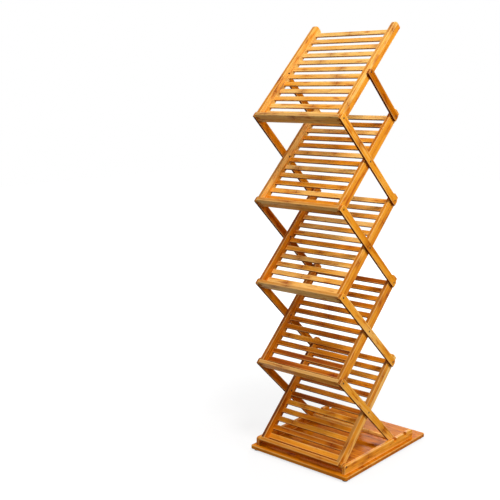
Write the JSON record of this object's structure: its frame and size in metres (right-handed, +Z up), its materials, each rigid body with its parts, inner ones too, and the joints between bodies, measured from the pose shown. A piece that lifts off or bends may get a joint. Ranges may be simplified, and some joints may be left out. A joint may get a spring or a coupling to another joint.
{
  "type": "folding display stand",
  "caption": "Folding bamboo display stand: slatted trays and crossed side arms linked as lazy tongs on a base board, standing up to hold brochures and folding flat.",
  "frame": {"origin": "floor level under the centre of the base board", "axes": "+X to the right seen from the front, +Y to the back, +Z up"},
  "size_m": [0.2982, 0.3312, 1.0336],
  "materials": {
    "bamboo_frame": "satin varnish",
    "bamboo_slat": "satin varnish",
    "bamboo_board": "satin varnish",
    "pin_metal": "dark bronzed",
    "screw_metal": "zinc",
    "foot_rubber": "matt"
  },
  "bodies": {
    "base": {"base_plate": "bamboo_board", "base_feet": "foot_rubber", "base_screws": "screw_metal", "base_rail_left": "bamboo_frame", "base_rail_right": "bamboo_frame", "base_pivot_pins": "pin_metal", "base_spacers": "bamboo_frame"},
    "tray_1": {"tray_1_rail_left": "bamboo_frame", "tray_1_rail_right": "bamboo_frame", "tray_1_lip": "bamboo_frame", "tray_1_slats": "bamboo_slat"},
    "tray_2": {"tray_2_rail_left": "bamboo_frame", "tray_2_rail_right": "bamboo_frame", "tray_2_lip": "bamboo_frame", "tray_2_slats": "bamboo_slat"},
    "tray_3": {"tray_3_rail_left": "bamboo_frame", "tray_3_rail_right": "bamboo_frame", "tray_3_lip": "bamboo_frame", "tray_3_slats": "bamboo_slat"},
    "tray_4": {"tray_4_rail_left": "bamboo_frame", "tray_4_rail_right": "bamboo_frame", "tray_4_lip": "bamboo_frame", "tray_4_slats": "bamboo_slat"},
    "tray_5": {"tray_5_rail_left": "bamboo_frame", "tray_5_rail_right": "bamboo_frame", "tray_5_lip": "bamboo_frame", "tray_5_slats": "bamboo_slat"},
    "arm_1": {"arm_1_left": "bamboo_frame", "arm_1_right": "bamboo_frame", "arm_1_pins": "pin_metal"},
    "arm_2": {"arm_2_left": "bamboo_frame", "arm_2_right": "bamboo_frame", "arm_2_pins": "pin_metal"},
    "arm_3": {"arm_3_left": "bamboo_frame", "arm_3_right": "bamboo_frame", "arm_3_pins": "pin_metal"},
    "arm_4": {"arm_4_left": "bamboo_frame", "arm_4_right": "bamboo_frame", "arm_4_pins": "pin_metal", "cross_bar": "bamboo_frame"},
    "half_arm": {"half_arm_left": "bamboo_frame", "half_arm_right": "bamboo_frame", "half_arm_pins": "pin_metal"}
  },
  "joints": [
    {"name": "fold", "type": "hinge", "parent": "base", "child": "tray_5", "pos_m": [0, -0.14964, 0.0305], "axis": [1, 0, 0], "range_deg": [-39.1, 0]},
    {"name": "arm_4_cross", "type": "hinge", "parent": "tray_5", "child": "arm_4", "pos_m": [0, -0.051, 0.12914], "axis": [1, 0, 0], "range_deg": [0, 78.3]},
    {"name": "tray_4_front", "type": "hinge", "parent": "arm_4", "child": "tray_4", "pos_m": [0, -0.14964, 0.22778], "axis": [1, 0, 0], "range_deg": [-78.3, 0]},
    {"name": "arm_3_cross", "type": "hinge", "parent": "tray_4", "child": "arm_3", "pos_m": [0, -0.051, 0.32642], "axis": [1, 0, 0], "range_deg": [0, 78.3]},
    {"name": "tray_3_front", "type": "hinge", "parent": "arm_3", "child": "tray_3", "pos_m": [0, -0.14964, 0.42507], "axis": [1, 0, 0], "range_deg": [-78.3, 0]},
    {"name": "arm_2_cross", "type": "hinge", "parent": "tray_3", "child": "arm_2", "pos_m": [0, -0.051, 0.52371], "axis": [1, 0, 0], "range_deg": [0, 78.3]},
    {"name": "tray_2_front", "type": "hinge", "parent": "arm_2", "child": "tray_2", "pos_m": [0, -0.14964, 0.62235], "axis": [1, 0, 0], "range_deg": [-78.3, 0]},
    {"name": "arm_1_cross", "type": "hinge", "parent": "tray_2", "child": "arm_1", "pos_m": [0, -0.051, 0.72099], "axis": [1, 0, 0], "range_deg": [0, 78.3]},
    {"name": "tray_1_front", "type": "hinge", "parent": "arm_1", "child": "tray_1", "pos_m": [0, -0.14964, 0.81963], "axis": [1, 0, 0], "range_deg": [-78.3, 0]},
    {"name": "half_arm_cross", "type": "hinge", "parent": "tray_1", "child": "half_arm", "pos_m": [0, -0.051, 0.91827], "axis": [1, 0, 0], "range_deg": [0, 78.3]}
  ],
  "couplings": [
    {"joint": "arm_4_cross", "follows": "fold", "ratio": -2},
    {"joint": "tray_4_front", "follows": "fold", "ratio": 2},
    {"joint": "arm_3_cross", "follows": "fold", "ratio": -2},
    {"joint": "tray_3_front", "follows": "fold", "ratio": 2},
    {"joint": "arm_2_cross", "follows": "fold", "ratio": -2},
    {"joint": "tray_2_front", "follows": "fold", "ratio": 2},
    {"joint": "arm_1_cross", "follows": "fold", "ratio": -2},
    {"joint": "tray_1_front", "follows": "fold", "ratio": 2},
    {"joint": "half_arm_cross", "follows": "fold", "ratio": -2}
  ]
}
